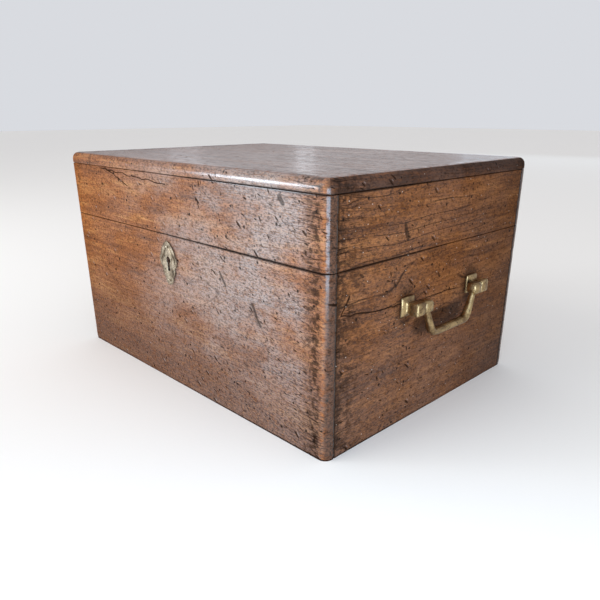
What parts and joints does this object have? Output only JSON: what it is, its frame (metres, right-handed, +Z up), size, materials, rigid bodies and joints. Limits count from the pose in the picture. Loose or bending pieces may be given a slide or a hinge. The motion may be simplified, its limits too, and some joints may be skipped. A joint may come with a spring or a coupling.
{
  "type": "tea caddy",
  "caption": "Rectangular walnut tea caddy with a hinged lid, a lock, a bail handle at each end, and lift-out tea canisters beside a mixing bowl.",
  "frame": {"origin": "centre of the underside of the case", "axes": "+Z up, +X towards the right end board with its handle, -Y out of the front with the lock"},
  "size_m": [0.365, 0.2489, 0.1863],
  "materials": {
    "case_walnut": "waxed, worn, figured",
    "top_walnut": "polished, worn",
    "underside_wood": "raw, dusty",
    "inner_wood": "plain, oiled",
    "lid_veneer": "satin",
    "knob_wood": "polished",
    "lining": "velvet",
    "brass": "aged",
    "handle_brass": "aged, rubbed bright on edges",
    "escutcheon_brass": "cast, tarnished",
    "steel": "dull",
    "bowl_glass": "clear, cut"
  },
  "bodies": {
    "case": {"base_front": "case_walnut", "base_back": "case_walnut", "base_left_end": "case_walnut", "base_right_end": "case_walnut", "base_bottom": "underside_wood", "left_hinge_base_leaf": "brass", "left_hinge_base_leaf_screw_left": "steel", "left_hinge_base_leaf_screw_right": "steel", "left_hinge_pin": "steel", "left_handle_front_post": "handle_brass", "left_handle_front_post_nut": "steel", "left_handle_rear_post": "handle_brass", "left_handle_rear_post_nut": "steel", "left_partition": "inner_wood", "right_hinge_base_leaf": "brass", "right_hinge_base_leaf_screw_left": "steel", "right_hinge_base_leaf_screw_right": "steel", "right_hinge_pin": "steel", "right_handle_front_post": "handle_brass", "right_handle_front_post_nut": "steel", "right_handle_rear_post": "handle_brass", "right_handle_rear_post_nut": "steel", "right_partition": "inner_wood", "escutcheon": "escutcheon_brass", "escutcheon_pin_upper": "escutcheon_brass", "escutcheon_pin_lower": "escutcheon_brass", "lock_plate": "brass", "lock_cap": "brass", "lock_spring": "steel", "lock_screw_left": "steel", "lock_screw_right": "steel", "front_ledge": "inner_wood", "back_ledge": "inner_wood", "bowl_board": "lid_veneer"},
    "lid": {"lid_front": "case_walnut", "lid_back": "case_walnut", "lid_left_end": "case_walnut", "lid_right_end": "case_walnut", "lid_top": "top_walnut", "lid_lining": "lining", "left_hinge_lid_leaf": "brass", "left_hinge_lid_leaf_screw_left": "steel", "left_hinge_lid_leaf_screw_right": "steel", "right_hinge_lid_leaf": "brass", "right_hinge_lid_leaf_screw_left": "steel", "right_hinge_lid_leaf_screw_right": "steel", "lock_link_plate": "brass", "link_screw_left": "steel", "link_screw_right": "steel"},
    "left_bail": {"left_handle_bail": "handle_brass"},
    "left_canister": {"left_canister": "inner_wood"},
    "left_canister_lid": {"left_canister_lid": "lid_veneer", "left_canister_knob": "knob_wood"},
    "right_bail": {"right_handle_bail": "handle_brass"},
    "right_canister": {"right_canister": "inner_wood"},
    "right_canister_lid": {"right_canister_lid": "lid_veneer", "right_canister_knob": "knob_wood"},
    "lock_bolt": {"lock_bolt": "steel"},
    "mixing_bowl": {"mixing_bowl": "bowl_glass"}
  },
  "joints": [
    {"name": "lid_hinge", "type": "hinge", "parent": "case", "child": "lid", "pos_m": [0, 0.1232, 0.13025], "axis": [-1, 0, 0], "range_deg": [0, 100]},
    {"name": "right_bail_swing", "type": "hinge", "parent": "case", "child": "right_bail", "pos_m": [0.178, 0.003, 0.0933], "axis": [0, -1, 0], "range_deg": [-14, 160]},
    {"name": "left_bail_swing", "type": "hinge", "parent": "case", "child": "left_bail", "pos_m": [-0.178, 0.003, 0.0933], "axis": [0, 1, 0], "range_deg": [-14, 160]},
    {"name": "lock_bolt_throw", "type": "slide", "parent": "case", "child": "lock_bolt", "axis": [1, 0, 0], "range_m": [0, 0.003]},
    {"name": "left_canister_lift", "type": "slide", "parent": "case", "child": "left_canister", "axis": [0, 0, 1], "range_m": [0, 0.04]},
    {"name": "left_canister_lid_lift", "type": "slide", "parent": "left_canister", "child": "left_canister_lid", "axis": [0, 0, 1], "range_m": [0, 0.035]},
    {"name": "right_canister_lift", "type": "slide", "parent": "case", "child": "right_canister", "axis": [0, 0, 1], "range_m": [0, 0.04]},
    {"name": "right_canister_lid_lift", "type": "slide", "parent": "right_canister", "child": "right_canister_lid", "axis": [0, 0, 1], "range_m": [0, 0.035]},
    {"name": "bowl_lift", "type": "slide", "parent": "case", "child": "mixing_bowl", "axis": [0, 0, 1], "range_m": [0, 0.05]}
  ]
}
